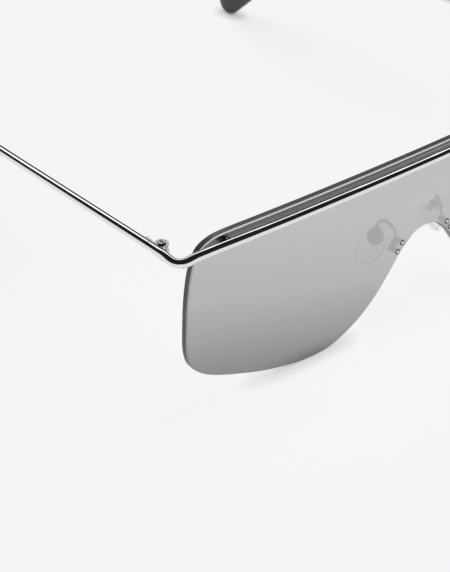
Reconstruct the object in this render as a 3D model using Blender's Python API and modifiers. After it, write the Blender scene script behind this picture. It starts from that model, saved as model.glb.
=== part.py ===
# Shield sunglasses: a one-piece lens hung behind a bent brow wire,
# two folding wire temples with plastic tips, and two rocking nose pads.
#
# Blender 4.5, metres, +Z up. The wearer looks along -Y, so the lens faces -Y
# and the temples run back along +Y. "right" is the wearer's right, at -X.
# Everything is modelled with y = 0 at the middle of the brow wire and z = 0 at
# the lens's lowest edge. At the end the whole model is moved so that the
# origin is the centre of its footprint, on the table.

import math

import bmesh
import bpy
from mathutils import Matrix, Vector

MM = 0.001

# Driving dimensions
HALF_WIDTH = 66.35 * MM           # centre plane to the centre of a temple wire
BOW_RADIUS = 1030.0 * MM          # how gently the brow wire and the lens wrap
LENS_HEIGHT = 39.8 * MM
LENS_THICKNESS = 1.5 * MM
LENS_SIDE_INSET = 2.2 * MM        # from the temple wire's centre in to the lens's widest point
LENS_TOP_RISE = 2.15 * MM         # lens top above the brow wire's centre
LENS_STANDOFF = 0.03 * MM         # air between the brow wire and the lens's front
LENS_TILT = math.radians(1.0)     # the lens's foot stands a little ahead of the brow wire
NOTCH_HEIGHT = 20.7 * MM          # nose notch, from the lens's lowest edge
NOTCH_HALF_WIDTH = 19.15 * MM     # where the notch leaves the round of the lobe
BAR_RADIUS = 0.98 * MM
TEMPLE_WIRE_RADIUS = 0.95 * MM
CORNER_RADIUS = 2.7 * MM          # bend of the brow wire into its end piece
CORNER_DIP = 0.5 * MM             # the wire sags a little in that bend
CORNER_DIP_REACH = 4.4 * MM       # along the wire, each way from the bend's middle
END_PIECE_LENGTH = 6.5 * MM       # straight stretch from that bend to the seam
END_STEP = 0.22 * MM              # the end piece leaves the bend a little lower than the brow wire
SEAM = 0.1 * MM                   # butt joint between end piece and temple, shut
TEMPLE_DROP = math.radians(2.3)
TEMPLE_SPLAY = math.radians(0.6)
TEMPLE_STRAIGHT = 95.5 * MM      # seam to the ear bend
EAR_BEND = math.radians(37.6)     # further turn down at the ear
EAR_BEND_RADIUS = 22.0 * MM
TIP_HALF_WIDTH = 4.2 * MM
TIP_HALF_THICKNESS = 1.9 * MM
TIP_START = 57.5 * MM             # seam to the front end of the plastic tip
WELD = 0.001 * MM                 # points this near each other are one point
FIT = 0.05 * MM                   # clearance round a pin, a core or a seat
OVERRUN = 1.0 * MM                # how far a cutter runs past a face

# Values that follow from them
LENS_HALF_WIDTH = HALF_WIDTH - LENS_SIDE_INSET
BAR_HEIGHT = LENS_HEIGHT - LENS_TOP_RISE
LENS_FRONT = BAR_RADIUS + LENS_STANDOFF
LENS_BACK = LENS_FRONT + LENS_THICKNESS
CORNER_X = HALF_WIDTH - CORNER_RADIUS
SIDES = {"right": -1, "left": 1}


def bow(x):
    """How far back the brow wire has curved at x."""
    return x * x / (2 * BOW_RADIUS)


def lean(z):
    """How far the tilt sets the lens back at a height; below the brow wire this is forward."""
    return math.tan(LENS_TILT) * (z - BAR_HEIGHT)


CORNER_Y = bow(CORNER_X) + CORNER_RADIUS
SEAM_Y = CORNER_Y + END_PIECE_LENGTH


def wire_height(y):
    """Height of the end piece and of the straight temple wire at y."""
    return BAR_HEIGHT - END_STEP - math.tan(TEMPLE_DROP) * max(0, y - CORNER_Y)


def wire_offset(y):
    """Distance of the end piece and of the temple from the centre plane at y."""
    return HALF_WIDTH + math.tan(TEMPLE_SPLAY) * max(0, y - SEAM_Y)


# Scene, collections and materials

for old in list(bpy.data.objects):
    bpy.data.objects.remove(old, do_unlink=True)

parts = bpy.data.collections.new("sunglasses")
cutters = bpy.data.collections.new("cutters")
cutters.hide_render = True
bpy.context.scene.collection.children.link(parts)
bpy.context.scene.collection.children.link(cutters)


def make_material(name, colour, roughness, metallic, alpha=1):
    material = bpy.data.materials.new(name)
    material.use_nodes = True
    shader = material.node_tree.nodes["Principled BSDF"]
    shader.inputs["Base Color"].default_value = (*colour, 1)
    shader.inputs["Roughness"].default_value = roughness
    shader.inputs["Metallic"].default_value = metallic
    shader.inputs["Alpha"].default_value = alpha
    material.diffuse_color = (*colour, alpha)
    return material


CHROME = make_material("chrome", (0.82, 0.82, 0.83), 0.06, 1)
MIRROR_LENS = make_material("mirror_lens", (0.62, 0.62, 0.63), 0.08, 1)
STEEL_SCREW = make_material("steel_screw", (0.60, 0.60, 0.61), 0.25, 1)
TIP_PLASTIC = make_material("tip_plastic", (0.06, 0.06, 0.065), 0.30, 0)
CLEAR_NYLON = make_material("clear_nylon", (0.85, 0.86, 0.86), 0.25, 0, 0.5)
SILICONE = make_material("silicone", (0.88, 0.88, 0.88), 0.35, 0, 0.45)


# Empties carry the pieces: one for the whole object, one on each joint's axis

root = bpy.data.objects.new("whole_object", None)
parts.objects.link(root)


def make_carrier(name, place, matrix=None):
    carrier = bpy.data.objects.new(name, None)
    parts.objects.link(carrier)
    carrier.parent = root
    carrier.matrix_basis = Matrix.Translation(place) @ (matrix or Matrix.Identity(4))
    return carrier


# Builders. Each takes design coordinates and returns an object under a carrier.

def add_piece(name, mesh, material, carrier, origin=None):
    """Put a mesh given in design coordinates under its carrier."""
    obj = bpy.data.objects.new(name, mesh)
    parts.objects.link(obj)
    mesh.materials.append(material)
    obj.parent = carrier
    carrier_matrix = Matrix.Identity(4) if carrier == root else carrier.matrix_basis
    place = Matrix.Translation(origin) if origin is not None else carrier_matrix
    mesh.transform(place.inverted())
    obj.matrix_basis = carrier_matrix.inverted() @ place
    return obj


def add_cutter(name, mesh):
    cutter = bpy.data.objects.new(name, mesh)
    cutters.objects.link(cutter)
    cutter.parent = root
    cutter.display_type = "WIRE"
    cutter.hide_render = True
    return cutter


def combine(target, cutter, operation):
    modifier = target.modifiers.new(f"{operation.lower()}_{cutter.name}", "BOOLEAN")
    modifier.operation = operation
    modifier.object = cutter


def shade_round(mesh, angle=math.radians(40)):
    mesh.shade_smooth()
    mesh.set_sharp_from_angle(angle=angle)


def mesh_from(bm, name, smooth=True):
    bmesh.ops.recalc_face_normals(bm, faces=bm.faces)
    mesh = bpy.data.meshes.new(name)
    bm.to_mesh(mesh)
    bm.free()
    if smooth:
        shade_round(mesh)
    return mesh


def turn_to(direction):
    """Rotation that takes +Z to a direction."""
    return Vector((0, 0, 1)).rotation_difference(Vector(direction)).to_matrix().to_4x4()


def rod_mesh(name, start, end, radius, end_radius=None, segments=24):
    """A round bar, or a cone, from one point to another."""
    start = Vector(start)
    end = Vector(end)
    bm = bmesh.new()
    bmesh.ops.create_cone(
        bm, cap_ends=True, segments=segments, radius1=radius,
        radius2=radius if end_radius is None else end_radius, depth=(end - start).length,
        matrix=Matrix.Translation((start + end) / 2) @ turn_to(end - start))
    return mesh_from(bm, name)


def block_mesh(name, centre, size, matrix=None):
    """A box of a given size, turned by a matrix about its centre."""
    bm = bmesh.new()
    scale = Matrix.Diagonal((*size, 1))
    bmesh.ops.create_cube(bm, size=1, matrix=Matrix.Translation(centre) @ (matrix or Matrix.Identity(4)) @ scale)
    return mesh_from(bm, name, smooth=False)


def tube_mesh(name, points, radii, resolution=6):
    """A wire along a path, closed at both ends, as a welded mesh."""
    curve = bpy.data.curves.new(name, "CURVE")
    curve.dimensions = "3D"
    curve.bevel_depth = BAR_RADIUS
    curve.bevel_resolution = resolution
    curve.use_fill_caps = True
    spline = curve.splines.new("POLY")
    spline.points.add(len(points) - 1)
    for knot, point, radius in zip(spline.points, points, radii):
        knot.co = (*point, 1)
        knot.radius = radius / BAR_RADIUS
    holder = bpy.data.objects.new(name, curve)
    bpy.context.scene.collection.objects.link(holder)
    bpy.context.view_layer.update()
    evaluated = holder.evaluated_get(bpy.context.evaluated_depsgraph_get())
    bm = bmesh.new()
    bm.from_mesh(bpy.data.meshes.new_from_object(evaluated))
    bmesh.ops.remove_doubles(bm, verts=bm.verts, dist=WELD)
    bpy.data.objects.remove(holder, do_unlink=True)
    return mesh_from(bm, name)


def smooth_path(points, steps):
    """A Catmull-Rom curve through the points."""
    padded = [points[0]] + list(points) + [points[-1]]
    path = []
    for before, start, end, after in zip(padded, padded[1:], padded[2:], padded[3:]):
        for step in range(steps):
            t = step / steps
            path.append(tuple(
                0.5 * (2 * b + (c - a) * t + (2 * a - 5 * b + 4 * c - d) * t ** 2
                       + (3 * b - a - 3 * c + d) * t ** 3)
                for a, b, c, d in zip(before, start, end, after)))
    return path + [tuple(points[-1])]


# The lens: a gently curved sheet, trimmed to its outline and drilled

LENS_CORNER_SHARES = ((0.826, 1.0), (0.862, 0.998), (0.889, 0.994), (0.909, 0.985), (0.926, 0.974),
                      (0.940, 0.960), (0.951, 0.942), (0.960, 0.916), (0.972, 0.870), (0.981, 0.815),
                      (0.989, 0.735), (0.9945, 0.649), (0.998, 0.541), (1.0, 0.428), (0.996, 0.352),
                      (0.983, 0.288), (0.960, 0.245), (0.937, 0.214), (0.9135, 0.190), (0.873, 0.158),
                      (0.814, 0.121), (0.753, 0.0855), (0.692, 0.055), (0.6375, 0.033), (0.583, 0.0156),
                      (0.530, 0.0038), (0.483, 0.0))
LOBE_SHARES = ((0.4365, 0.005), (0.382, 0.0277))
NOTCH_SHARES = ((1.0, 0.183), (0.738, 0.382), (0.534, 0.606), (0.389, 0.788), (0.259, 0.9015),
                (0.207, 0.947), (0.114, 0.986), (0.0, 1.0))
OUTLINE_STEPS = 3
LENS_COLUMNS = 56

# The brow wire's bosses go through the lens near its ends
BOSS_INSET = 9.7 * MM             # from the lens's widest point
BOSS_RADIUS = 1.0 * MM
STUD_RADIUS = 0.6 * MM
STUD_HOLE_RADIUS = STUD_RADIUS + 2 * FIT
STUD_X = LENS_HALF_WIDTH - BOSS_INSET

# Each pad arm has a plate behind the lens with two pins through it
PAD_BASE_BELOW = 2.6 * MM         # under the top of the notch
PAD_BASE_INSET = 2.0 * MM         # from the notch's edge
PIN_SPACING = 2.2 * MM
PIN_SLANT = math.radians(34)      # of the line of pins, from upright
PIN_RADIUS = 0.35 * MM
BUSH_RADIUS = 0.6 * MM
BUSH_PROUD = 0.1 * MM


def lens_half_outline():
    corner = [(x * LENS_HALF_WIDTH, z * LENS_HEIGHT) for x, z in LENS_CORNER_SHARES]
    lobe = [(x * LENS_HALF_WIDTH, z * LENS_HEIGHT) for x, z in LOBE_SHARES]
    notch = [(x * NOTCH_HALF_WIDTH, z * NOTCH_HEIGHT) for x, z in NOTCH_SHARES]
    return smooth_path(corner, OUTLINE_STEPS) + smooth_path(lobe + notch, OUTLINE_STEPS)


def notch_edge(height):
    """Half the notch's width at a height, from the outline itself."""
    rows = [(z * NOTCH_HEIGHT, x * NOTCH_HALF_WIDTH) for x, z in NOTCH_SHARES]
    for (low, wide), (high, narrow) in zip(rows, rows[1:]):
        if low <= height <= high:
            return wide + (narrow - wide) * (height - low) / (high - low)
    return rows[-1][1]


PAD_BASE_Z = NOTCH_HEIGHT - PAD_BASE_BELOW
PAD_BASE_X = notch_edge(PAD_BASE_Z) + PAD_BASE_INSET


def pin_places(side):
    """Upper and lower pin of one pad arm, as x and z."""
    lean = Vector((math.sin(PIN_SLANT), -math.cos(PIN_SLANT))) * PIN_SPACING / 2
    upper = (side * (PAD_BASE_X - lean.x), PAD_BASE_Z - lean.y)
    lower = (side * (PAD_BASE_X + lean.x), PAD_BASE_Z + lean.y)
    return {"upper": upper, "lower": lower}


def outline_prism():
    """The lens's outline, extruded along Y through the whole bow."""
    half = lens_half_outline()
    outline = half + [(-x, z) for x, z in reversed(half[:-1])]
    curve = bpy.data.curves.new("lens_outline", "CURVE")
    curve.dimensions = "2D"
    curve.fill_mode = "BOTH"
    curve.extrude = bow(LENS_HALF_WIDTH) + LENS_BACK + OVERRUN
    spline = curve.splines.new("POLY")
    spline.points.add(len(outline) - 1)
    for knot, (x, z) in zip(spline.points, outline):
        knot.co = (x, z, 0, 1)
    spline.use_cyclic_u = True
    holder = bpy.data.objects.new("lens_outline", curve)
    bpy.context.scene.collection.objects.link(holder)
    holder.rotation_euler.x = math.pi / 2
    bpy.context.view_layer.update()
    evaluated = holder.evaluated_get(bpy.context.evaluated_depsgraph_get())
    bm = bmesh.new()
    bm.from_mesh(bpy.data.meshes.new_from_object(evaluated))
    bm.transform(holder.matrix_world)
    bmesh.ops.remove_doubles(bm, verts=bm.verts, dist=WELD)
    bpy.data.objects.remove(holder, do_unlink=True)
    return mesh_from(bm, "lens_outline")


def lens_sheet():
    """The blank: a sheet curved like the brow wire, thickened towards the back."""
    bm = bmesh.new()
    bmesh.ops.create_grid(bm, x_segments=LENS_COLUMNS, y_segments=2, size=1)
    for vertex in bm.verts:
        x = vertex.co.x * (LENS_HALF_WIDTH + OVERRUN)
        z = LENS_HEIGHT / 2 + vertex.co.y * (LENS_HEIGHT / 2 + OVERRUN)
        vertex.co = (x, bow(x) + lean(z) + LENS_FRONT, z)
    mesh = bpy.data.meshes.new("shield_lens")
    bm.to_mesh(mesh)
    bm.free()
    shade_round(mesh)
    return mesh


def across_lens(x, z, front, back):
    """Two points on a line square to the lens at x and z, at given depths."""
    slope = Vector((-x / BOW_RADIUS, 1, -math.tan(LENS_TILT))).normalized()
    foot = Vector((x, bow(x) + lean(z), z))
    return foot + slope * front, foot + slope * back


def build_lens():
    lens = add_piece("shield_lens", lens_sheet(), MIRROR_LENS, root)
    thick = lens.modifiers.new("thickness", "SOLIDIFY")
    thick.thickness = LENS_THICKNESS
    thick.offset = 1 if lens.data.polygons[0].normal.y > 0 else -1
    combine(lens, add_cutter("lens_outline", outline_prism()), "INTERSECT")
    for name, side in SIDES.items():
        hole = across_lens(side * STUD_X, BAR_HEIGHT, 0, LENS_BACK + OVERRUN)
        combine(lens, add_cutter(f"stud_hole_{name}", rod_mesh("stud_hole", *hole, STUD_HOLE_RADIUS)), "DIFFERENCE")
        for level, (x, z) in pin_places(side).items():
            hole = across_lens(x, z, 0, LENS_BACK + OVERRUN)
            cutter = add_cutter(f"pin_hole_{level}_{name}", rod_mesh("pin_hole", *hole, BUSH_RADIUS + FIT, segments=16))
            combine(lens, cutter, "DIFFERENCE")
    return lens


# The brow wire, with a boss and a threaded stud near each end for the lens

BAR_POINTS = 24
CORNER_POINTS = 8
END_PIECE_POINTS = 4
WASHER_RADIUS = 1.4 * MM
WASHER_THICKNESS = 0.3 * MM
NUT_RADIUS = 1.1 * MM
NUT_HEIGHT = 0.8 * MM
NUT_CAP = 0.3 * MM                # solid end of the cap nut, over the stud
STUD_END = LENS_BACK + WASHER_THICKNESS + NUT_HEIGHT - NUT_CAP


def corner_dip(along):
    """How far the wire sags at a distance along it from the bend's middle."""
    share = min(1, abs(along) / CORNER_DIP_REACH)
    return CORNER_DIP * (1 + math.cos(math.pi * share)) / 2


def brow_path():
    """Centre line and radii from one seam to the other."""
    half_arc = math.pi / 4 * CORNER_RADIUS
    half = []
    for i in range(BAR_POINTS // 2 + 1):
        x = CORNER_X * i / (BAR_POINTS // 2)
        half.append((Vector((x, bow(x), BAR_HEIGHT - corner_dip(CORNER_X - x + half_arc))), BAR_RADIUS))
    for along in (-half_arc - CORNER_RADIUS / 2, -half_arc - CORNER_RADIUS / 4):
        x = CORNER_X + along + half_arc
        half.insert(-1, (Vector((x, bow(x), BAR_HEIGHT - corner_dip(along))), BAR_RADIUS))
    for i in range(1, CORNER_POINTS + 1):
        turn = math.pi / 2 * i / CORNER_POINTS
        x = CORNER_X + CORNER_RADIUS * math.sin(turn)
        y = CORNER_Y - CORNER_RADIUS * math.cos(turn)
        share = i / CORNER_POINTS
        step = END_STEP * (1 - math.cos(math.pi * share)) / 2
        z = BAR_HEIGHT - step - corner_dip(turn * CORNER_RADIUS - half_arc)
        half.append((Vector((x, y, z)), BAR_RADIUS + (TEMPLE_WIRE_RADIUS - BAR_RADIUS) * share))
    for i in range(1, END_PIECE_POINTS + 1):
        y = CORNER_Y + END_PIECE_LENGTH * i / END_PIECE_POINTS
        z = wire_height(y) - corner_dip(half_arc + y - CORNER_Y)
        half.append((Vector((HALF_WIDTH, y, z)), TEMPLE_WIRE_RADIUS))
    mirrored = [(Vector((-point.x, point.y, point.z)), radius) for point, radius in reversed(half[1:])]
    whole = mirrored + half
    return [point for point, radius in whole], [radius for point, radius in whole]


def build_brow_bar():
    points, radii = brow_path()
    bar = add_piece("brow_bar", tube_mesh("brow_bar", points, radii), CHROME, root)
    for name, side in SIDES.items():
        boss = across_lens(side * STUD_X, BAR_HEIGHT, 0, LENS_FRONT - FIT)
        stud = across_lens(side * STUD_X, BAR_HEIGHT, LENS_FRONT / 2, STUD_END)
        combine(bar, add_cutter(f"boss_{name}", rod_mesh("boss", *boss, BOSS_RADIUS)), "UNION")
        combine(bar, add_cutter(f"stud_{name}", rod_mesh("stud", *stud, STUD_RADIUS)), "UNION")
    return bar


def build_lens_fasteners(name, side):
    """The washer and the cap nut behind the lens, on one stud."""
    washer = rod_mesh("washer", *across_lens(side * STUD_X, BAR_HEIGHT, LENS_BACK + FIT,
                                             LENS_BACK + WASHER_THICKNESS), WASHER_RADIUS)
    nut_front = LENS_BACK + WASHER_THICKNESS + FIT
    nut = rod_mesh("nut", *across_lens(side * STUD_X, BAR_HEIGHT, nut_front, nut_front + NUT_HEIGHT),
                   NUT_RADIUS, segments=6)
    bore = rod_mesh("stud_bore", *across_lens(side * STUD_X, BAR_HEIGHT, 0, STUD_END + FIT),
                    STUD_RADIUS + FIT)
    bore_cutter = add_cutter(f"stud_bore_{name}", bore)
    for piece, mesh, material in (("lens_washer", washer, CLEAR_NYLON), ("lens_nut", nut, CHROME)):
        origin = across_lens(side * STUD_X, BAR_HEIGHT, LENS_BACK, LENS_BACK)[0]
        combine(add_piece(f"{piece}_{name}", mesh, material, root, origin), bore_cutter, "DIFFERENCE")


# The hinges: two leaves on the end piece, one knuckle on the temple, a screw

SPINE = 0.35 * MM                 # hinge plate beside the wire
SPINE_BITE = 0.38 * MM             # how far the plate reaches round the wire
TEMPLE_BITE = 0.7 * MM            # the same for the lower temple plate, further under the wire
KNUCKLE_RADIUS = 1.0 * MM
LEAF_RADIUS = 1.45 * MM
LEAF_THICKNESS = 0.5 * MM
KNUCKLE_HEIGHT = 0.85 * MM
HINGE_RUNNING = 0.08 * MM         # clearance between faces that turn past each other
AXIS_BEFORE_SEAM = 0.8 * MM
HINGE_TOP_DROP = 0.1 * MM         # top of the upper leaf below the wire's centre there
HINGE_PLATE_LENGTH = 3.9 * MM
TEMPLE_PLATE_LENGTH = 2.9 * MM
KNUCKLE_ARM_WIDTH = 0.75 * MM
SCREW_RADIUS = 0.45 * MM
SCREW_HEAD_RADIUS = 0.85 * MM
SCREW_HEAD_HEIGHT = 0.3 * MM
SCREW_SLOT_WIDTH = 0.2 * MM
SCREW_SLOT_DEPTH = 0.15 * MM

PLATE_FACE_X = HALF_WIDTH - TEMPLE_WIRE_RADIUS - SPINE
AXIS_X = PLATE_FACE_X - HINGE_RUNNING - KNUCKLE_RADIUS
AXIS_Y = SEAM_Y - AXIS_BEFORE_SEAM
HINGE_TOP = wire_height(AXIS_Y) - HINGE_TOP_DROP
HINGE_HEIGHT = 2 * LEAF_THICKNESS + KNUCKLE_HEIGHT + 2 * HINGE_RUNNING
HINGE_MIDDLE = HINGE_TOP - HINGE_HEIGHT / 2
HINGE_BOTTOM = HINGE_TOP - HINGE_HEIGHT


def wire_cutter(name, side, low_y, high_y):
    """A rod a little fatter than the wire, to seat a hinge plate on it."""
    ends = [Vector((side * wire_offset(y), y, wire_height(y))) for y in (low_y - OVERRUN, high_y + OVERRUN)]
    return add_cutter(name, rod_mesh(name, *ends, TEMPLE_WIRE_RADIUS + FIT, segments=32))


def screw_hole(name, side, carrier_radius):
    low = (side * AXIS_X, AXIS_Y, HINGE_BOTTOM - OVERRUN)
    high = (side * AXIS_X, AXIS_Y, HINGE_TOP + OVERRUN)
    return add_cutter(name, rod_mesh(name, low, high, carrier_radius))


def hinge_plate(name, side, low_y, high_y, inner_x, bite, height):
    """The plate of a hinge half, from inside the wire's outline to inner_x."""
    outer_x = PLATE_FACE_X + SPINE + bite
    centre = (side * (outer_x + inner_x) / 2, (low_y + high_y) / 2, HINGE_MIDDLE)
    return block_mesh(name, centre, (outer_x - inner_x, high_y - low_y, height))


def build_hinge_front(name, side):
    plate_end = SEAM_Y - HINGE_RUNNING
    plate = hinge_plate("front_hinge", side, plate_end - HINGE_PLATE_LENGTH, plate_end, PLATE_FACE_X,
                        SPINE_BITE, HINGE_HEIGHT)
    hinge = add_piece(f"front_hinge_{name}", plate, CHROME, root, (side * AXIS_X, AXIS_Y, HINGE_MIDDLE))
    for level, top in (("top", HINGE_TOP), ("bottom", HINGE_BOTTOM + LEAF_THICKNESS)):
        low = (side * AXIS_X, AXIS_Y, top - LEAF_THICKNESS)
        high = (side * AXIS_X, AXIS_Y, top)
        leaf = add_cutter(f"leaf_{level}_{name}", rod_mesh("leaf", low, high, LEAF_RADIUS, segments=32))
        combine(hinge, leaf, "UNION")
        web_length = plate_end - AXIS_Y + KNUCKLE_RADIUS
        web_size = (PLATE_FACE_X + SPINE - AXIS_X, web_length, LEAF_THICKNESS)
        web_centre = (side * (PLATE_FACE_X + SPINE + AXIS_X) / 2, plate_end - web_length / 2,
                      top - LEAF_THICKNESS / 2)
        combine(hinge, add_cutter(f"web_{level}_{name}", block_mesh("web", web_centre, web_size)), "UNION")
    combine(hinge, wire_cutter(f"end_piece_seat_{name}", side, CORNER_Y - OVERRUN, SEAM_Y), "DIFFERENCE")
    combine(hinge, screw_hole(f"front_screw_hole_{name}", side, SCREW_RADIUS + FIT), "DIFFERENCE")


def build_hinge_temple(name, side, carrier):
    start = AXIS_Y + LEAF_RADIUS + HINGE_RUNNING
    arm_inner = AXIS_X + KNUCKLE_RADIUS - KNUCKLE_ARM_WIDTH
    plate = hinge_plate("temple_hinge", side, start, start + TEMPLE_PLATE_LENGTH, arm_inner,
                        TEMPLE_BITE, KNUCKLE_HEIGHT + 2 * HINGE_RUNNING)
    hinge = add_piece(f"temple_hinge_{name}", plate, CHROME, carrier)
    low = (side * AXIS_X, AXIS_Y, HINGE_MIDDLE - KNUCKLE_HEIGHT / 2)
    high = (side * AXIS_X, AXIS_Y, HINGE_MIDDLE + KNUCKLE_HEIGHT / 2)
    combine(hinge, add_cutter(f"knuckle_{name}", rod_mesh("knuckle", low, high, KNUCKLE_RADIUS, segments=32)), "UNION")
    reach = start + FIT - AXIS_Y
    arm_centre = (side * (arm_inner + KNUCKLE_ARM_WIDTH / 2), AXIS_Y + reach / 2, HINGE_MIDDLE)
    arm = block_mesh("knuckle_arm", arm_centre, (KNUCKLE_ARM_WIDTH, reach, KNUCKLE_HEIGHT))
    combine(hinge, add_cutter(f"knuckle_arm_{name}", arm), "UNION")
    combine(hinge, wire_cutter(f"temple_seat_{name}", side, SEAM_Y, start + TEMPLE_PLATE_LENGTH), "DIFFERENCE")
    combine(hinge, screw_hole(f"temple_screw_hole_{name}", side, SCREW_RADIUS + FIT), "DIFFERENCE")


def slotted_screw(name, base, top, head_height, radius, head_radius, carrier, origin=None):
    """A screw whose shank runs from base to top, with a slotted head on top."""
    base = Vector(base)
    top = Vector(top)
    up = (top - base).normalized()
    neck = top + up * (FIT + head_height / 2)
    screw = add_piece(name, rod_mesh(name, base, neck, radius), STEEL_SCREW, carrier, origin)
    head = rod_mesh("head", top + up * FIT, top + up * (FIT + head_height), head_radius, segments=32)
    combine(screw, add_cutter(f"{name}_head", head), "UNION")
    slot_centre = top + up * (FIT + head_height)
    slot = block_mesh("slot", slot_centre, (SCREW_SLOT_WIDTH, 2 * head_radius + OVERRUN, 2 * SCREW_SLOT_DEPTH),
                      turn_to(up))
    combine(screw, add_cutter(f"{name}_slot", slot), "DIFFERENCE")
    return screw


def build_hinge_screw(name, side):
    base = (side * AXIS_X, AXIS_Y, HINGE_BOTTOM)
    top = (side * AXIS_X, AXIS_Y, HINGE_TOP)
    slotted_screw(f"hinge_screw_{name}", base, top, SCREW_HEAD_HEIGHT, SCREW_RADIUS, SCREW_HEAD_RADIUS,
                  root, base)


# The temples: a straight wire, a collar and a plastic tip bent over the ear

CORE_RADIUS = 0.7 * MM            # the wire inside the plastic tip
CORE_SHORT_OF_END = 12.0 * MM
CORE_STEP = 0.6 * MM              # cone from the wire down to its core
COLLAR_LENGTH = 2.6 * MM
COLLAR_RADIUS = 1.3 * MM
TIP_MOUTH_RADIUS = 1.3 * MM
EAR_POINTS = 8
TIP_WIDTH_SHARES = ((0.0, 0.0), (0.18, 0.04), (0.36, 0.14), (0.52, 0.34), (0.68, 0.64), (0.82, 0.88), (0.93, 1.0))
TIP_THICKNESS_SHARES = ((0.0, 0.0), (0.25, 0.25), (0.5, 0.7), (0.75, 0.95), (0.93, 1.0))
TIP_STATIONS = 22
TIP_ROUND_STATIONS = 7
TIP_SIDES = 20
TIP_SQUARENESS = 2.6              # exponent of the section: 2 is an ellipse

TEMPLE_START = SEAM_Y + SEAM
BEND_Y = SEAM_Y + TEMPLE_STRAIGHT * math.cos(TEMPLE_DROP)
TIP_SLOPE = TEMPLE_DROP + EAR_BEND
BEND_END_Y = BEND_Y + EAR_BEND_RADIUS * (math.sin(TIP_SLOPE) - math.sin(TEMPLE_DROP))
BEND_END_Z = wire_height(BEND_Y) - EAR_BEND_RADIUS * (math.cos(TEMPLE_DROP) - math.cos(TIP_SLOPE))
TIP_DESCENT = (BEND_END_Z - TIP_HALF_WIDTH) / math.sin(TIP_SLOPE)
STRAIGHT_END = (BEND_Y - TEMPLE_START) / math.cos(TEMPLE_DROP)
BEND_LENGTH = EAR_BEND_RADIUS * EAR_BEND
PATH_LENGTH = STRAIGHT_END + BEND_LENGTH + TIP_DESCENT + TIP_HALF_WIDTH


def temple_point(side, distance):
    """Place and downward slope of the temple's centre line, from its front end."""
    if distance < STRAIGHT_END:
        y = TEMPLE_START + distance * math.cos(TEMPLE_DROP)
        return Vector((side * wire_offset(y), y, wire_height(y))), TEMPLE_DROP
    if distance < STRAIGHT_END + BEND_LENGTH:
        slope = TEMPLE_DROP + (distance - STRAIGHT_END) / EAR_BEND_RADIUS
        y = BEND_Y + EAR_BEND_RADIUS * (math.sin(slope) - math.sin(TEMPLE_DROP))
        z = wire_height(BEND_Y) - EAR_BEND_RADIUS * (math.cos(TEMPLE_DROP) - math.cos(slope))
        return Vector((side * wire_offset(y), y, z)), slope
    along = distance - STRAIGHT_END - BEND_LENGTH
    y = BEND_END_Y + along * math.cos(TIP_SLOPE)
    z = BEND_END_Z - along * math.sin(TIP_SLOPE)
    return Vector((side * wire_offset(y), y, z)), TIP_SLOPE


def core_distances(start, end):
    """Distances of the path's points, closer together round the ear bend."""
    bend = [STRAIGHT_END + BEND_LENGTH * i / EAR_POINTS for i in range(EAR_POINTS + 1)]
    return [start] + [d for d in bend if start < d < end] + [end]


def share_at(table, share):
    """Straight-line reading of a table of shares."""
    for (low, first), (high, second) in zip(table, table[1:]):
        if share <= high:
            return first + (second - first) * (share - low) / (high - low)
    return table[-1][1]


def build_temple_wire(name, side, carrier):
    collar_end = TIP_START
    distances = [0, collar_end - CORE_STEP] + core_distances(collar_end, PATH_LENGTH - CORE_SHORT_OF_END)
    radii = [TEMPLE_WIRE_RADIUS] * 2 + [CORE_RADIUS] * (len(distances) - 2)
    points = [temple_point(side, distance)[0] for distance in distances]
    mesh = tube_mesh("temple_wire", points, radii)
    add_piece(f"temple_wire_{name}", mesh, CHROME, carrier)


def build_temple_collar(name, side, carrier):
    start = TIP_START - CORE_STEP - COLLAR_LENGTH
    ends = [temple_point(side, distance)[0] for distance in (start, start + COLLAR_LENGTH)]
    collar = add_piece(f"temple_collar_{name}", rod_mesh("temple_collar", *ends, COLLAR_RADIUS), CHROME, carrier)
    bore = [temple_point(side, distance)[0] for distance in (start - OVERRUN, start + COLLAR_LENGTH + OVERRUN)]
    cutter = add_cutter(f"collar_bore_{name}", rod_mesh("collar_bore", *bore, TEMPLE_WIRE_RADIUS + FIT))
    combine(collar, cutter, "DIFFERENCE")


def tip_sections():
    """Distance, half width and half thickness of each section of the tip."""
    length = PATH_LENGTH - TIP_START
    body_end = length - TIP_HALF_WIDTH
    sections = []
    for i in range(TIP_STATIONS + 1):
        share = i / TIP_STATIONS * body_end / length
        width = TIP_MOUTH_RADIUS + (TIP_HALF_WIDTH - TIP_MOUTH_RADIUS) * share_at(TIP_WIDTH_SHARES, share)
        thickness = (TIP_MOUTH_RADIUS + (TIP_HALF_THICKNESS - TIP_MOUTH_RADIUS)
                     * share_at(TIP_THICKNESS_SHARES, share))
        sections.append((TIP_START + share * length, width, thickness))
    for i in range(1, TIP_ROUND_STATIONS):
        turn = math.pi / 2 * i / TIP_ROUND_STATIONS
        sections.append((TIP_START + body_end + TIP_HALF_WIDTH * math.sin(turn), TIP_HALF_WIDTH * math.cos(turn),
                         TIP_HALF_THICKNESS * math.sqrt(math.cos(turn))))
    return sections


def section_ring(bm, centre, slope, half_width, half_thickness):
    """A rounded-square section, square to the path, as a ring of vertices."""
    across = Vector((0, math.sin(slope), math.cos(slope)))
    ring = []
    for i in range(TIP_SIDES):
        turn = 2 * math.pi * i / TIP_SIDES
        c, s = math.cos(turn), math.sin(turn)
        u = math.copysign(abs(c) ** (2 / TIP_SQUARENESS), c) * half_width
        v = math.copysign(abs(s) ** (2 / TIP_SQUARENESS), s) * half_thickness
        ring.append(bm.verts.new(centre + across * u + Vector((v, 0, 0))))
    return ring


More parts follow.
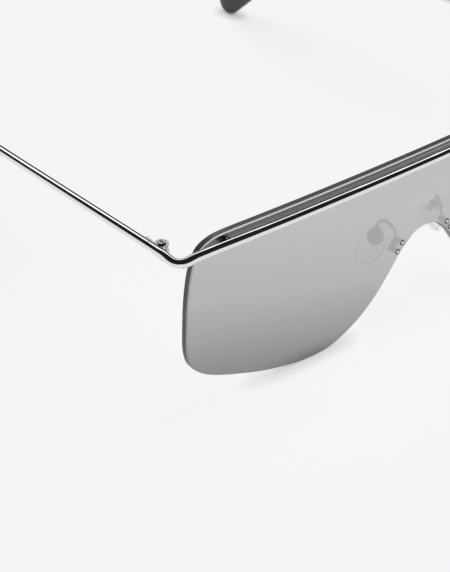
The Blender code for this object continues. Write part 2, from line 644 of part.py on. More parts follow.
def build_temple_tip(name, side, carrier):
    bm = bmesh.new()
    rings = []
    for distance, width, thickness in tip_sections():
        centre, slope = temple_point(side, distance)
        rings.append(section_ring(bm, centre, slope, width, thickness))
    for ring, following in zip(rings, rings[1:]):
        for i in range(TIP_SIDES):
            j = (i + 1) % TIP_SIDES
            bm.faces.new((ring[i], ring[j], following[j], following[i]))
    bm.faces.new(rings[0])
    bm.faces.new(rings[-1])
    tip = add_piece(f"temple_tip_{name}", mesh_from(bm, "temple_tip"), TIP_PLASTIC, carrier)
    distances = core_distances(TIP_START - OVERRUN, PATH_LENGTH - CORE_SHORT_OF_END + FIT)
    points = [temple_point(side, distance)[0] for distance in distances]
    bore = tube_mesh("core_bore", points, [CORE_RADIUS + FIT] * len(points))
    combine(tip, add_cutter(f"core_bore_{name}", bore), "DIFFERENCE")


# The nose pads: an arm with a plate, pins and a box, then the pad that rocks

PLATE_THICKNESS = 0.6 * MM
PLATE_WIDTH = 1.6 * MM
PLATE_MARGIN = 0.3 * MM           # plate beyond each pin
ARM_RADIUS = 0.45 * MM
PAD_IN = 0.46 * MM                # lug's place in the pad, inward of the plate's centre
PAD_BACK = 5.2 * MM               # and behind the lens's back
PAD_BELOW = 0.1 * MM              # and below the plate's centre
PAD_HALF_HEIGHT = 4.9 * MM
PAD_HALF_WIDTH = 3.1 * MM
PAD_HALF_THICKNESS = 1.6 * MM
PAD_FLARE = math.radians(42)      # the pads' lower ends stand apart
PAD_SPLAY = math.radians(28)      # and the pads open towards the face
INSERT_RADIUS = 1.85 * MM
INSERT_THICKNESS = 0.6 * MM
INSERT_RECESS = 0.75 * MM
INSERT_DROP = 1.0 * MM            # disc's centre below its lug
PAD_DROP = 3.0 * MM               # pad's centre below the lug
LUG_WIDTH = 0.8 * MM
LUG_LENGTH = 1.5 * MM
LUG_REACH = 2.0 * MM              # from the insert's back to the lug's end
PIVOT_REACH = 1.25 * MM           # from the insert's back to the rocking axis
BOX_WALL = 0.45 * MM
BOX_HEIGHT = 2.1 * MM
BOX_FLOOR = 0.5 * MM
BOX_CLEAR = 0.45 * MM             # between the insert's back and the box
PAD_SCREW_RADIUS = 0.3 * MM
PAD_SCREW_HEAD = 0.55 * MM
PAD_SCREW_HEAD_HEIGHT = 0.25 * MM
ARM_RISE = 4.6 * MM               # top of the arm's loop above the plate's centre
ARM_ROUTE_SHARES = ((-0.14, 0.05, 0.26), (-0.18, 0.09, 0.54), (-0.06, 0.36, 0.82), (0.31, 0.96, 1.0),
                    (0.66, 1.16, 0.83))
PAD_SEGMENTS = 24
PAD_RINGS = 14
ARM_STEPS = 4

PAD_X = PAD_BASE_X - PAD_IN
PAD_Y = LENS_BACK + PAD_BACK
PAD_Z = PAD_BASE_Z - PAD_BELOW
INSERT_BACK = -PAD_HALF_THICKNESS
PIVOT = INSERT_BACK - PIVOT_REACH
LUG_END = INSERT_BACK - LUG_REACH
BOX_FRONT = INSERT_BACK - BOX_CLEAR
BOX_HALF_WIDTH = LUG_WIDTH / 2 + 2 * FIT + BOX_WALL
BOX_INSIDE_END = LUG_END - BOX_CLEAR
BOX_BACK = BOX_INSIDE_END - BOX_FLOOR


def pad_frame(side):
    """Axes of one pad: X across it, Y up along it, Z towards the nose."""
    up = Vector((-side * math.sin(PAD_FLARE), 0, math.cos(PAD_FLARE)))
    inward = Vector((-side * math.cos(PAD_FLARE), 0, -math.sin(PAD_FLARE)))
    nose = inward * math.cos(PAD_SPLAY) + Vector((0, math.sin(PAD_SPLAY), 0))
    turn = Matrix((up.cross(nose), up, nose)).transposed().to_4x4()
    return Matrix.Translation((side * PAD_X, PAD_Y, PAD_Z)) @ turn


def in_pad(side, across, up, towards_nose):
    return pad_frame(side) @ Vector((across, up, towards_nose))


def pad_block(name, side, low, high):
    """A box given by two corners in a pad's own axes."""
    centre = [(a + b) / 2 for a, b in zip(low, high)]
    size = [b - a for a, b in zip(low, high)]
    mesh = block_mesh(name, centre, size)
    mesh.transform(pad_frame(side))
    return mesh


def plate_mesh(side):
    length = PIN_SPACING + 2 * (PIN_RADIUS + PLATE_MARGIN)
    turn = Matrix.Rotation(-side * PIN_SLANT, 4, "Y")
    front = across_lens(side * PAD_BASE_X, PAD_BASE_Z, LENS_BACK + FIT, LENS_BACK + FIT + PLATE_THICKNESS)
    return block_mesh("pad_plate", (front[0] + front[1]) / 2, (PLATE_WIDTH, PLATE_THICKNESS, length), turn)


def arm_path(side):
    """From the plate up along the lens, back in a loop and down to the box."""
    foot = across_lens(side * PAD_BASE_X, PAD_BASE_Z, LENS_BACK, LENS_BACK + 2 * FIT + ARM_RADIUS)[1]
    box = in_pad(side, 0, 0, BOX_BACK + BOX_FLOOR / 2)
    route = [Vector((foot.x + (box.x - foot.x) * x, foot.y + (box.y - foot.y) * y, foot.z + ARM_RISE * z))
             for x, y, z in ARM_ROUTE_SHARES]
    return [Vector(point) for point in smooth_path([tuple(knot) for knot in [foot, *route, box]], ARM_STEPS)]


def build_pad_arm(name, side):
    origin = Vector((side * PAD_BASE_X, LENS_BACK, PAD_BASE_Z))
    arm = add_piece(f"pad_arm_{name}", plate_mesh(side), CHROME, root, origin)
    path = arm_path(side)
    wire = add_cutter(f"arm_wire_{name}", tube_mesh("arm_wire", path, [ARM_RADIUS] * len(path), resolution=4))
    combine(arm, wire, "UNION")
    box = pad_block("pad_box", side, (-BOX_HALF_WIDTH, -BOX_HEIGHT / 2, BOX_BACK),
                    (BOX_HALF_WIDTH, BOX_HEIGHT / 2, BOX_FRONT))
    combine(arm, add_cutter(f"pad_box_{name}", box), "UNION")
    slot_half = LUG_WIDTH / 2 + 2 * FIT
    slot = pad_block("pad_slot", side, (-slot_half, -BOX_HEIGHT, BOX_INSIDE_END),
                     (slot_half, BOX_HEIGHT, BOX_FRONT + OVERRUN))
    combine(arm, add_cutter(f"pad_slot_{name}", slot), "DIFFERENCE")
    hole = [in_pad(side, x, 0, PIVOT) for x in (-BOX_HALF_WIDTH - OVERRUN, BOX_HALF_WIDTH + OVERRUN)]
    combine(arm, add_cutter(f"pad_box_hole_{name}", rod_mesh("hole", *hole, PAD_SCREW_RADIUS + FIT)), "DIFFERENCE")
    for level, (x, z) in pin_places(side).items():
        pin = across_lens(x, z, LENS_FRONT - BUSH_PROUD, LENS_BACK + PLATE_THICKNESS / 2)
        cutter = add_cutter(f"pin_{level}_{name}", rod_mesh("pin", *pin, PIN_RADIUS, segments=16))
        combine(arm, cutter, "UNION")


def build_bushes(name, side):
    """Clear sleeves that hold the pins in the lens."""
    for level, (x, z) in pin_places(side).items():
        ends = across_lens(x, z, LENS_FRONT - BUSH_PROUD, LENS_BACK)
        origin = across_lens(x, z, LENS_FRONT, LENS_FRONT)[0]
        bush = add_piece(f"pin_bush_{level}_{name}", rod_mesh("pin_bush", *ends, BUSH_RADIUS, segments=16),
                         CLEAR_NYLON, root, origin)
        bore = across_lens(x, z, 0, LENS_BACK + OVERRUN)
        cutter = add_cutter(f"bush_bore_{level}_{name}", rod_mesh("bore", *bore, PIN_RADIUS + FIT, segments=16))
        combine(bush, cutter, "DIFFERENCE")


def build_nose_pad(name, side, carrier):
    """The soft pad, with a round recess in its back for the insert."""
    bm = bmesh.new()
    bmesh.ops.create_uvsphere(bm, u_segments=PAD_SEGMENTS, v_segments=PAD_RINGS, radius=1)
    size = Matrix.Diagonal((PAD_HALF_WIDTH, PAD_HALF_HEIGHT, PAD_HALF_THICKNESS, 1))
    centre = Matrix.Translation((0, -PAD_DROP, 0))
    bmesh.ops.transform(bm, matrix=pad_frame(side) @ centre @ size, verts=bm.verts)
    pad = add_piece(f"nose_pad_{name}", mesh_from(bm, "nose_pad"), SILICONE, carrier)
    recess = [in_pad(side, 0, -INSERT_DROP, z) for z in (INSERT_BACK - OVERRUN, INSERT_BACK + INSERT_RECESS)]
    combine(pad, add_cutter(f"pad_recess_{name}", rod_mesh("pad_recess", *recess, INSERT_RADIUS + FIT)), "DIFFERENCE")


def build_insert(name, side, carrier):
    """The round metal insert with the drilled lug that sits in the box."""
    ends = [in_pad(side, 0, -INSERT_DROP, z) for z in (INSERT_BACK, INSERT_BACK + INSERT_THICKNESS)]
    insert = add_piece(f"pad_insert_{name}", rod_mesh("pad_insert", *ends, INSERT_RADIUS), CHROME, carrier)
    lug = pad_block("lug", side, (-LUG_WIDTH / 2, -LUG_LENGTH / 2, LUG_END),
                    (LUG_WIDTH / 2, LUG_LENGTH / 2, INSERT_BACK + INSERT_THICKNESS / 2))
    combine(insert, add_cutter(f"lug_{name}", lug), "UNION")
    hole = [in_pad(side, x, 0, PIVOT) for x in (-LUG_WIDTH, LUG_WIDTH)]
    combine(insert, add_cutter(f"lug_hole_{name}", rod_mesh("lug_hole", *hole, PAD_SCREW_RADIUS + FIT)), "DIFFERENCE")


def build_pad_screw(name, side):
    ends = [in_pad(side, x, 0, PIVOT) for x in (side * BOX_HALF_WIDTH, -side * BOX_HALF_WIDTH)]
    slotted_screw(f"pad_screw_{name}", *ends, PAD_SCREW_HEAD_HEIGHT, PAD_SCREW_RADIUS, PAD_SCREW_HEAD, root, ends[0])


def rest_on_table():
    """Move the whole model so that its footprint's centre is the origin."""
    bpy.context.view_layer.update()
    depsgraph = bpy.context.evaluated_depsgraph_get()
    corners = []
    for obj in parts.objects:
        if obj.type != "MESH":
            continue
        evaluated = obj.evaluated_get(depsgraph)
        corners += [obj.matrix_world @ vertex.co for vertex in evaluated.data.vertices]
    front = min(corner.y for corner in corners)
    back = max(corner.y for corner in corners)
    bottom = min(corner.z for corner in corners)
    root.location = (0, -(front + back) / 2, -bottom)
    bpy.context.view_layer.update()


build_lens()
build_brow_bar()
for side_name, sign in SIDES.items():
    temple_axis = make_carrier(f"temple_axis_{side_name}", (sign * AXIS_X, AXIS_Y, HINGE_MIDDLE))
    pad_axis = make_carrier(f"pad_axis_{side_name}", in_pad(sign, 0, 0, PIVOT))
    build_lens_fasteners(side_name, sign)
    build_hinge_front(side_name, sign)
    build_hinge_temple(side_name, sign, temple_axis)
    build_hinge_screw(side_name, sign)
    build_temple_wire(side_name, sign, temple_axis)
    build_temple_collar(side_name, sign, temple_axis)
    build_temple_tip(side_name, sign, temple_axis)
    build_pad_arm(side_name, sign)
    build_bushes(side_name, sign)
    build_nose_pad(side_name, sign, pad_axis)
    build_insert(side_name, sign, pad_axis)
    build_pad_screw(side_name, sign)
rest_on_table()
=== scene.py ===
# %% [markdown]
# Rimless shield sunglasses: one curved, silver-coated lens hangs from a round chrome wire that
# runs along the brow and turns back at each corner. Two hinges, two long wire temples with dark
# plastic tips, and two clear nose pads on thin bent arms finish it.
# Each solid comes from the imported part, already at its real size and place. This lesson gives
# those solids their finishes, rounds off their edges, and lights them the way a shop photographs
# glasses: on a white table, with one large softbox above and behind.

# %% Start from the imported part
import math

import bpy
from mathutils import Matrix, Vector

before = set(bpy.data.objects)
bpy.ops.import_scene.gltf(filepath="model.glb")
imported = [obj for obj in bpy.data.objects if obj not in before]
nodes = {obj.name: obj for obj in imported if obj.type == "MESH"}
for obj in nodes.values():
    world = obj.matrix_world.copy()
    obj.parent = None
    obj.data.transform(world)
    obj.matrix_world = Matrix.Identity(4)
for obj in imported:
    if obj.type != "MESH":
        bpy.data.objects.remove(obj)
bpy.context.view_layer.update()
MM = 0.001
SIDES = ("right", "left")
WHITE = (1, 1, 1, 1)

# %% [markdown]
# Every finish here is a node material. A small helper makes an empty one, so that each finish
# below is only its own few settings. Object coordinates are used for all the patterns: they are
# in metres and stay fixed to the piece when a temple folds.

# %% Helpers for finishes
NOISE_DETAIL = 3.0
GRAIN_SPAN = (0.3, 0.7)


def new_finish(name):
    """An empty node material, with its tree and its main shader."""
    finish = bpy.data.materials.new(name)
    finish.use_nodes = True
    tree = finish.node_tree
    shader = tree.nodes["Principled BSDF"]
    return finish, tree, shader


def add_node(tree, kind, **settings):
    node = tree.nodes.new(kind)
    for key, value in settings.items():
        setattr(node, key, value)
    return node


def place_in_piece(tree):
    return add_node(tree, "ShaderNodeTexCoord").outputs["Object"]


def speckle(tree, grains_per_metre):
    """A soft noise of a given fineness."""
    noise = add_node(tree, "ShaderNodeTexNoise")
    noise.inputs["Scale"].default_value = grains_per_metre
    noise.inputs["Detail"].default_value = NOISE_DETAIL
    tree.links.new(place_in_piece(tree), noise.inputs["Vector"])
    return noise.outputs["Fac"]


def between(tree, value, span, results=(0, 1)):
    """Maps a value from one span to another, held at both ends."""
    ramp = add_node(tree, "ShaderNodeMapRange")
    for socket, number in zip(("From Min", "From Max", "To Min", "To Max"), (*span, *results)):
        ramp.inputs[socket].default_value = number
    tree.links.new(value, ramp.inputs["Value"])
    return ramp.outputs["Result"]


def grained(tree, shader, grains_per_metre, roughness):
    """Lets the roughness wander between two values with a grain, and returns the grain."""
    grain = speckle(tree, grains_per_metre)
    tree.links.new(between(tree, grain, GRAIN_SPAN, roughness), shader.inputs["Roughness"])
    return grain


def bumps(tree, shader, height, depth):
    """Fine relief from a height value."""
    bump = add_node(tree, "ShaderNodeBump")
    bump.inputs["Distance"].default_value = depth
    tree.links.new(height, bump.inputs["Height"])
    tree.links.new(bump.outputs["Normal"], shader.inputs["Normal"])


def metal_finish(name, colour, grains_per_metre, roughness, relief):
    finish, tree, shader = new_finish(name)
    shader.inputs["Base Color"].default_value = colour
    shader.inputs["Metallic"].default_value = 1.0
    grain = grained(tree, shader, grains_per_metre, roughness)
    if relief:
        bumps(tree, shader, grain, relief)
    return finish


# %% [markdown]
# Polished chrome is a metal with almost no roughness. Real plating is never perfect: buffing
# leaves faint cloudiness, so the roughness wanders a little. A flat value would look like a
# computer's mirror.

# %% Polished chrome
CHROME_COLOUR = (0.80, 0.805, 0.81, 1)
CHROME_CLOUDS = 900
CHROME_ROUGHNESS = (0.03, 0.09)

chrome = metal_finish("polished_chrome", CHROME_COLOUR, CHROME_CLOUDS, CHROME_ROUGHNESS, 0)
print("finish:", chrome.name)

# %% [markdown]
# The hinge halves are small castings, tumbled rather than buffed before plating. They come out
# greyer than the wires, with a satin face and a faint grain.

# %% Tumbled hinge metal
HINGE_COLOUR = (0.62, 0.62, 0.63, 1)
HINGE_GRAINS = 4000
HINGE_ROUGHNESS = (0.12, 0.24)
HINGE_RELIEF = 0.005 * MM

hinge_metal = metal_finish("tumbled_hinge_metal", HINGE_COLOUR, HINGE_GRAINS, HINGE_ROUGHNESS, HINGE_RELIEF)
print("finish:", hinge_metal.name)

# %% [markdown]
# The hinge and pad screws are turned steel, duller than the plating, with a fine tool grain.

# %% Turned steel
STEEL_COLOUR = (0.50, 0.50, 0.51, 1)
STEEL_GRAINS = 6000
STEEL_ROUGHNESS = (0.18, 0.34)
STEEL_RELIEF = 0.004 * MM

steel = metal_finish("turned_steel", STEEL_COLOUR, STEEL_GRAINS, STEEL_ROUGHNESS, STEEL_RELIEF)
print("finish:", steel.name)

# %% [markdown]
# The lens is tinted polycarbonate with a thin silver flash coat on its faces. The coat is a
# partial mirror: it reflects the table and lets a little of what lies behind show through. Its
# colour is painted darker toward the foot of the lens, a painted shade for the shadowed table
# that it reflects there. Its rim has no coat, so there the dark tint shows, and the small chamfer
# round the front is painted pale where it faces up, a painted highlight: full along the top, less
# at the sides and not at all along the bottom. One material does all of this by looking at which
# way the surface faces and where on the lens it is.

# %% Silver-coated lens
# The coat's colour falls from top to middle to low toward the lens's foot: painted shade for the shadowed
# table that the lens reflects there.
LENS_TOP_COAT = (0.50, 0.50, 0.50, 1)
LENS_MIDDLE_COAT_PAINTED_SHADE = (0.425, 0.425, 0.425, 1)
LENS_LOW_COAT_PAINTED_SHADE = (0.10, 0.10, 0.10, 1)
PAINTED_SHADE_BANDS = (2 * MM, 26 * MM, 42 * MM)
COAT_COVER = 0.87
PAINTED_SHADE_TILT_SHARE = 0.27
PAINTED_SHADE_HALF_WIDTH = 60 * MM
LENS_RIM = (0.060, 0.060, 0.062, 1)
# Pale colour for the chamfer where it faces up: a painted highlight.
LENS_CHAMFER_PAINTED_HIGHLIGHT = (0.90, 0.90, 0.90, 1)
LENS_ROUGHNESS = (0.25, 0.03)
FACE_SPAN = (0.93, 0.97)
CHAMFER_SPAN = (-0.55, -0.45)
PAINTED_HIGHLIGHT_UPWARD_SPAN = (-0.6, 0.45)


def sums(tree, operation, first, second):
    """One step of arithmetic on two values or numbers."""
    node = add_node(tree, "ShaderNodeMath", operation=operation)
    for socket, value in zip(node.inputs, (first, second)):
        if isinstance(value, (int, float)):
            socket.default_value = value
        else:
            tree.links.new(value, socket)
    return node.outputs[0]


def painted_shade_height(tree):
    """Height on the lens, counted higher toward the middle. The coat is painted darker as this falls toward
    the lens's foot, a painted shade for the shadowed table reflected there.
    """
    where = add_node(tree, "ShaderNodeSeparateXYZ")
    tree.links.new(place_in_piece(tree), where.inputs[0])
    out_from_middle = sums(tree, "ABSOLUTE", where.outputs["X"], 0)
    inward = sums(tree, "SUBTRACT", PAINTED_SHADE_HALF_WIDTH, out_from_middle)
    return sums(tree, "ADD", where.outputs["Z"], sums(tree, "MULTIPLY", inward, PAINTED_SHADE_TILT_SHARE))


def mix_colour(tree, amount, low, high):
    mix = add_node(tree, "ShaderNodeMix", data_type="RGBA")
    tree.links.new(amount, mix.inputs["Factor"])
    for socket, colour in ((mix.inputs[6], low), (mix.inputs[7], high)):
        if isinstance(colour, tuple):
            socket.default_value = colour
        else:
            tree.links.new(colour, socket)
    return mix.outputs[2]


def lens_finish():
    finish, tree, shader = new_finish("silver_coated_lens")
    facing = add_node(tree, "ShaderNodeSeparateXYZ")
    tree.links.new(add_node(tree, "ShaderNodeTexCoord").outputs["Normal"], facing.inputs[0])
    # Painted highlight: the chamfer is painted pale where it faces up and takes the dark rim colour where
    # it faces down.
    upward_for_painted_highlight = between(tree, facing.outputs["Z"], PAINTED_HIGHLIGHT_UPWARD_SPAN)
    in_front = between(tree, facing.outputs["Y"], CHAMFER_SPAN, (1, 0))
    painted_highlight_on_chamfer = sums(tree, "MULTIPLY", in_front, upward_for_painted_highlight)
    on_face = between(tree, sums(tree, "ABSOLUTE", facing.outputs["Y"], 0), FACE_SPAN)
    rim = mix_colour(tree, painted_highlight_on_chamfer, LENS_RIM, LENS_CHAMFER_PAINTED_HIGHLIGHT)
    # Painted shade: the coat is darkened toward the foot of the lens.
    height = painted_shade_height(tree)
    low, middle, top = PAINTED_SHADE_BANDS
    coat_with_painted_shade = mix_colour(tree, between(tree, height, (low, middle)), LENS_LOW_COAT_PAINTED_SHADE, LENS_MIDDLE_COAT_PAINTED_SHADE)
    coat_with_painted_shade = mix_colour(tree, between(tree, height, (middle, top)), coat_with_painted_shade, LENS_TOP_COAT)
    tree.links.new(mix_colour(tree, on_face, rim, coat_with_painted_shade), shader.inputs["Base Color"])
    tree.links.new(on_face, shader.inputs["Metallic"])
    tree.links.new(between(tree, on_face, (0, 1), LENS_ROUGHNESS), shader.inputs["Roughness"])
    from_inside = add_node(tree, "ShaderNodeNewGeometry").outputs["Backfacing"]
    cover = between(tree, on_face, (0, 1), (1.0, COAT_COVER))
    tree.links.new(sums(tree, "SUBTRACT", cover, from_inside), shader.inputs["Alpha"])
    return finish


lens_coat = lens_finish()
print("finish:", lens_coat.name)

# %% [markdown]
# The temple tips are a dark grey moulded plastic, smooth to the touch but not glossy. The fine
# grain of the mould breaks up its highlights.

# %% Dark moulded plastic
TIP_DARK = (0.024, 0.024, 0.026, 1)
TIP_PALE = (0.034, 0.034, 0.036, 1)
TIP_CLOUDS = 350
TIP_GRAINS = 5000
TIP_ROUGHNESS = (0.09, 0.15)
TIP_RELIEF = 0.004 * MM
TIP_BEND = 1.44


def tip_finish():
    finish, tree, shader = new_finish("dark_moulded_tip")
    tone = mix_colour(tree, speckle(tree, TIP_CLOUDS), TIP_DARK, TIP_PALE)
    tree.links.new(tone, shader.inputs["Base Color"])
    shader.inputs["IOR"].default_value = TIP_BEND
    grain = grained(tree, shader, TIP_GRAINS, TIP_ROUGHNESS)
    bumps(tree, shader, grain, TIP_RELIEF)
    return finish


tip_plastic = tip_finish()
print("finish:", tip_plastic.name)

# %% [markdown]
# The nose pads are clear silicone and the small washers and bushes are clear nylon. Both let
# light through and bend it a little, and silicone has a soft, slightly greasy surface.

# %% Clear silicone and nylon
CLEAR_TRANSMISSION = 0.92
CLEAR_CLOUDS = 1500
SILICONE = {"colour": (0.96, 0.96, 0.96, 1), "roughness": (0.16, 0.24), "bend": 1.41, "cover": 0.36}
NYLON = {"colour": (0.94, 0.94, 0.94, 1), "roughness": (0.20, 0.28), "bend": 1.53, "cover": 0.5}


def clear_finish(name, colour, roughness, bend, cover):
    finish, tree, shader = new_finish(name)
    shader.inputs["Base Color"].default_value = colour
    shader.inputs["Transmission Weight"].default_value = CLEAR_TRANSMISSION
    shader.inputs["IOR"].default_value = bend
    shader.inputs["Alpha"].default_value = cover
    grained(tree, shader, CLEAR_CLOUDS, roughness)
    return finish


silicone = clear_finish("clear_silicone", **SILICONE)
nylon = clear_finish("clear_nylon", **NYLON)
print("finishes:", silicone.name, "and", nylon.name)

# %% [markdown]
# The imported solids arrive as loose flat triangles, because that is how the CAD file is written.
# A weld joins them, a planar decimate removes the lines inside flat faces, a small bevel breaks
# each sharp edge as tumbling and polishing do, and an edge split keeps the remaining corners
# crisp while everything else shades smoothly. All are modifiers, so the solids stay as packed.

# %% Dress the solids
WELD_DISTANCE = 0.001 * MM
FLAT_ANGLE = math.radians(0.05)
BEVEL_ANGLE = math.radians(40)
SHARP_ANGLE = math.radians(32)


def dress(node, finish, edge_break):
    """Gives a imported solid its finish, soft edges and smooth shading."""
    mesh = node.data
    mesh.materials.clear()
    mesh.materials.append(finish)
    if "custom_normal" in mesh.attributes:
        mesh.attributes.remove(mesh.attributes["custom_normal"])
    mesh.shade_smooth()
    node.modifiers.new("weld", "WELD").merge_threshold = WELD_DISTANCE
    flat = node.modifiers.new("flat_faces", "DECIMATE")
    flat.decimate_type = "DISSOLVE"
    flat.angle_limit = FLAT_ANGLE
    if edge_break:
        bevel = node.modifiers.new("edge_break", "BEVEL")
        bevel.width = edge_break
        bevel.segments = 1
        bevel.limit_method = "ANGLE"
        bevel.angle_limit = BEVEL_ANGLE
    split = node.modifiers.new("crisp_corners", "EDGE_SPLIT")
    split.split_angle = SHARP_ANGLE
    split.use_edge_sharp = False
    node.modifiers.new("even_shading", "WEIGHTED_NORMAL")


LENS_BREAK = 0.24 * MM
COLLAR_BREAK = 0.12 * MM
NUT_BREAK = 0.08 * MM
CAST_BREAK = 0.06 * MM
WIRE_END_BREAK = 0.05 * MM
TURNED_BREAK = 0.04 * MM
PIN_BREAK = 0.03 * MM
ROUND_ALREADY = 0

PIECES = {
    "shield_lens": (lens_coat, LENS_BREAK),
    "brow_bar": (chrome, ROUND_ALREADY),
    "lens_washer": (nylon, CAST_BREAK),
    "lens_nut": (chrome, NUT_BREAK),
    "front_hinge": (hinge_metal, CAST_BREAK),
    "temple_hinge": (hinge_metal, CAST_BREAK),
    "hinge_screw": (steel, TURNED_BREAK),
    "temple_wire": (chrome, WIRE_END_BREAK),
    "temple_collar": (chrome, COLLAR_BREAK),
    "temple_tip": (tip_plastic, ROUND_ALREADY),
    "pad_arm": (chrome, PIN_BREAK),
    "pin_bush_upper": (nylon, TURNED_BREAK),
    "pin_bush_lower": (nylon, TURNED_BREAK),
    "nose_pad": (silicone, ROUND_ALREADY),
    "pad_insert": (chrome, WIRE_END_BREAK),
    "pad_screw": (steel, PIN_BREAK),
}

for piece, (finish, edge_break) in PIECES.items():
    both = [piece] if piece in nodes else [f"{piece}_{side}" for side in SIDES]
    for name in both:
        dress(nodes[name], finish, edge_break)
print(f"dressed {len(nodes)} solids in {len(PIECES)} kinds of piece")

# %% [markdown]
# The lens is polished along its outline only; its small drilled holes keep their crisp edges.
# Its bevel therefore goes by weight. An edge gets one where a flat side meets the rim, unless a
# bush or a washer sits there. The front's edge has the wide one that catches the light, and the
# back's edge is hardly broken.

# %% Bevel the lens along its outline
HOLE_REACH = 1.1 * MM
FLAT_SHARE = 0.7
BEVEL_SHARES = {"front": 1.0, "back": 0.2}
DECIMAL_PLACES = 6


def middle_of(node):
    """The middle of a node's box, in the scene."""
    corners = [Vector(corner) for corner in node.bound_box]
    return node.matrix_world @ (sum(corners, Vector()) / len(corners))


def edges_by_side(mesh, spots):
    """The edges of the front, of the back and of the rim, by where they are."""
    sides = {"front": set(), "back": set(), "rim": set()}
    for face in mesh.polygons:
        toward = face.normal.y
        side = "rim" if abs(toward) < FLAT_SHARE else "front" if toward < 0 else "back"
        sides[side].update(frozenset((spots[a], spots[b])) for a, b in face.edge_keys)
    return sides


def bevel_outline(lens, fillers):
    """Gives the outline's edges their bevel weights, and returns how many there are."""
    mesh = lens.data
    spots = [tuple(round(c, DECIMAL_PLACES) for c in lens.matrix_world @ v.co) for v in mesh.vertices]
    sides = edges_by_side(mesh, spots)
    holes = [middle_of(filler).xz for filler in fillers]
    weights = mesh.attributes.new("bevel_weight_edge", "FLOAT", "EDGE")
    bevelled = 0
    for edge, weight in zip(mesh.edges, weights.data):
        first, second = (spots[v] for v in edge.vertices)
        here = frozenset((first, second))
        by_hole = any((Vector(first).xz - hole).length < HOLE_REACH for hole in holes)
        for side, share in BEVEL_SHARES.items():
            if here in sides["rim"] and here in sides[side] and not by_hole:
                weight.value = share
                bevelled += 1
    bevel = lens.modifiers["edge_break"]
    bevel.limit_method = "WEIGHT"
    bevel.use_clamp_overlap = False
    return bevelled


in_holes = [node for name, node in nodes.items() if name.startswith(("pin_bush", "lens_washer"))]
print("edges bevelled:", bevel_outline(nodes["shield_lens"], in_holes))

# %% [markdown]
# The table is one wide sheet of milky plastic lit from below, far larger than the glasses so
# that its edge is out of sight. The glow is what keeps the ground so even in the photograph. Its
# glow is dimmed within a few millimetres of anything that touches it: a painted contact shadow.

# %% Table
TABLE_HALF = 3.0
TABLE_COLOUR = (0.80, 0.80, 0.80, 1)
TABLE_GLOW = 0.735
# Glow left right at a touching point, for the painted contact shadow.
PAINTED_CONTACT_SHADOW_GLOW = 0.22
PAINTED_CONTACT_SHADOW_REACH = 4 * MM


def table_top():
    corners = [(x, y, 0) for x, y in ((-1, -1), (1, -1), (1, 1), (-1, 1))]
    mesh = bpy.data.meshes.new("table_top")
    mesh.from_pydata([Vector(c) * TABLE_HALF for c in corners], [], [(0, 1, 2, 3)])
    table = bpy.data.objects.new("table_top", mesh)
    bpy.context.scene.collection.objects.link(table)
    finish, tree, shader = new_finish("milky_table")
    shader.inputs["Base Color"].default_value = TABLE_COLOUR
    shader.inputs["Roughness"].default_value = 1.0
    shader.inputs["Specular IOR Level"].default_value = 0.0
    shader.inputs["Emission Color"].default_value = WHITE
    # Painted contact shadow: the glow dims by ambient occlusion near anything that touches the table.
    painted_contact_shadow = add_node(tree, "ShaderNodeAmbientOcclusion")
    painted_contact_shadow.inputs["Distance"].default_value = PAINTED_CONTACT_SHADOW_REACH
    glow_with_painted_shadow = between(tree, painted_contact_shadow.outputs["AO"], (0, 1), (PAINTED_CONTACT_SHADOW_GLOW, TABLE_GLOW))
    tree.links.new(glow_with_painted_shadow, shader.inputs["Emission Strength"])
    mesh.materials.append(finish)
    return table


table = table_top()
print("table:", [round(side, 2) for side in table.dimensions])

# %% [markdown]
# Chrome shows whatever stands round it, so the light matters more than the metal. One large
# softbox hangs above and behind the glasses. Its image gives the wires their white stripe, and
# the dark room beside it draws the black one. It is linked to the glasses only, not to
# the table, because the photograph's shadows are too faint and short for a light that low.

# %% Softbox
SOFTBOX_HEIGHT = 3.0
SOFTBOX_TURN = math.radians(39.8)
SOFTBOX_AWAY = 3.45
SOFTBOX_ASIDE = -0.45
SOFTBOX_SIZE = (5.7, 2.1)
SOFTBOX_BRIGHTNESS = 1.4


def hang_light(name, light):
    """Puts a light in the scene, unseen by the camera itself."""
    lamp = bpy.data.objects.new(name, light)
    bpy.context.scene.collection.objects.link(lamp)
    lamp.visible_camera = False
    return lamp


def light_panel(name, size, brightness):
    """A flat rectangle of light with a given brightness of its face."""
    light = bpy.data.lights.new(name, "AREA")
    light.shape = "RECTANGLE"
    light.size, light.size_y = size
    light.energy = brightness * math.pi * light.size * light.size_y
    return hang_light(name, light)


def shines_on(lamp, names):
    """Lets a light fall on the named solids only."""
    lit = bpy.data.collections.new(f"{lamp.name}_lit")
    for name in names:
        lit.objects.link(nodes[name])
    lamp.light_linking.receiver_collection = lit


def softbox():
    lamp = light_panel("softbox", SOFTBOX_SIZE, SOFTBOX_BRIGHTNESS)
    away = Vector((math.sin(SOFTBOX_TURN), math.cos(SOFTBOX_TURN), 0))
    aside = Vector((math.cos(SOFTBOX_TURN), -math.sin(SOFTBOX_TURN), 0))
    lamp.location = SOFTBOX_AWAY * away + SOFTBOX_ASIDE * aside + Vector((0, 0, SOFTBOX_HEIGHT))
    lamp.rotation_euler = (0, 0, -SOFTBOX_TURN)
    shines_on(lamp, nodes)
    return lamp


lamp = softbox()
print("softbox at", [round(v, 2) for v in lamp.location])

# %% [markdown]
# Two low white cards stand beyond the camera, one in front and one on the left. They are seen in
# the lower half of every wire, and they narrow its black stripe to what the photograph shows.

# %% White cards
CARD_DISTANCE = 6.0
CARD_LENGTH = 16.0
CARD_HEIGHT = 1.25
UPRIGHT = math.radians(90)
CARD_BRIGHTNESS = 0.80


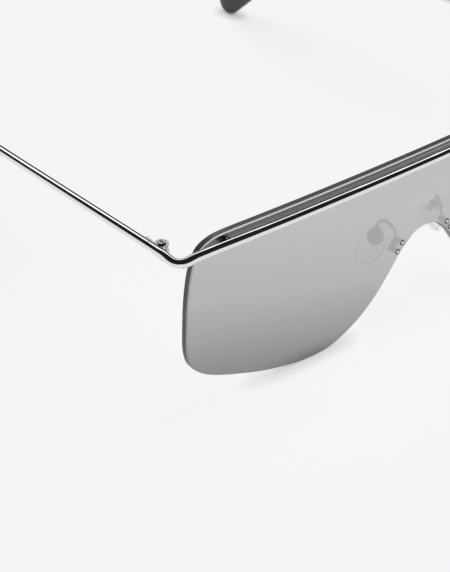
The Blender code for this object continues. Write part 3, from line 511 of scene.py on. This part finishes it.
def white_card(name, place, turn):
    card = light_panel(name, (CARD_LENGTH, CARD_HEIGHT), CARD_BRIGHTNESS)
    card.location = place
    card.rotation_euler = (UPRIGHT, 0, turn)
    card.visible_diffuse = False
    return card


white_card("front_card", (0, -CARD_DISTANCE, CARD_HEIGHT / 2), 0)
white_card("left_card", (-CARD_DISTANCE, 0, CARD_HEIGHT / 2), -UPRIGHT)
print("two white cards,", CARD_DISTANCE, "m away")

# %% [markdown]
# A faint wide light straight overhead shapes the dull pieces. The lens does not stop it, since
# the photograph has no broad shadow in front of the lens, only the narrow one at its foot. A
# second one falls on the lens only and picks out the light line along its upper chamfer.

# %% Overhead lights
OVERHEAD_STRENGTH = 0.62
EDGE_LIGHT_STRENGTH = 1.5
OVERHEAD_SPREAD = math.radians(50)


def overhead(name, strength):
    light = bpy.data.lights.new(name, "SUN")
    light.energy = strength
    light.angle = OVERHEAD_SPREAD
    lamp = hang_light(name, light)
    lamp.visible_glossy = False
    return lamp


def stopped_by(lamp, names):
    """Lets only the named solids throw a shadow in this light."""
    blockers = bpy.data.collections.new(f"{lamp.name}_blockers")
    for name in names:
        blockers.objects.link(nodes[name])
    lamp.light_linking.blocker_collection = blockers


stopped_by(overhead("overhead", OVERHEAD_STRENGTH), [name for name in nodes if name != "shield_lens"])
shines_on(overhead("edge_light", EDGE_LIGHT_STRENGTH), ["shield_lens"])
print("two overhead lights")

# %% [markdown]
# The room itself stays almost dark, so that polished metal keeps a black stripe. Only the
# camera sees it pale, as the backdrop behind the table in low views.

# %% Room
ROOM_SEEN = 0.913
ROOM_LIGHT = 0.015


def dark_room():
    room = bpy.data.worlds.new("studio")
    bpy.context.scene.world = room
    room.use_nodes = True
    tree = room.node_tree
    path = add_node(tree, "ShaderNodeLightPath")
    strength = between(tree, path.outputs["Is Camera Ray"], (0, 1), (ROOM_LIGHT, ROOM_SEEN))
    background = tree.nodes["Background"]
    background.inputs["Color"].default_value = WHITE
    tree.links.new(strength, background.inputs["Strength"])
    return room


room = dark_room()
bpy.context.scene.view_settings.view_transform = "Standard"
print("room:", room.name)

# %% [markdown]
# The photograph was taken from the front left and well above, from near enough that the far
# temple tip is clearly smaller. The place, turn and focal length below were found by matching
# the wires, the lens outline and the far tip of the part with those in the photograph.

# %% Camera
CAMERA_PLACE = (-198.49 * MM, -245.8079 * MM, 183.492 * MM)
CAMERA_TURN = math.radians(39.819)
CAMERA_DIP = math.radians(34.804)
CAMERA_ROLL = math.radians(0.679)
CAMERA_LENS_MM = 88.81
CLIP_FROM = 10 * MM
CLIP_TO = 50


def photo_camera():
    turn, dip, roll = CAMERA_TURN, CAMERA_DIP, CAMERA_ROLL
    forward = Vector((math.sin(turn) * math.cos(dip), math.cos(turn) * math.cos(dip), -math.sin(dip)))
    right = Vector((math.cos(turn), -math.sin(turn), 0))
    up = right.cross(forward)
    rolled_right = math.cos(roll) * right + math.sin(roll) * up
    rolled_up = math.cos(roll) * up - math.sin(roll) * right
    data = bpy.data.cameras.new("photo_camera")
    data.lens = CAMERA_LENS_MM
    data.clip_start = CLIP_FROM
    data.clip_end = CLIP_TO
    camera = bpy.data.objects.new("photo_camera", data)
    bpy.context.scene.collection.objects.link(camera)
    turned = Matrix((rolled_right, rolled_up, -forward)).transposed().to_4x4()
    camera.matrix_world = Matrix.Translation(CAMERA_PLACE) @ turned
    bpy.context.scene.camera = camera
    return camera


camera = photo_camera()
print("camera at", [round(v, 4) for v in camera.location])
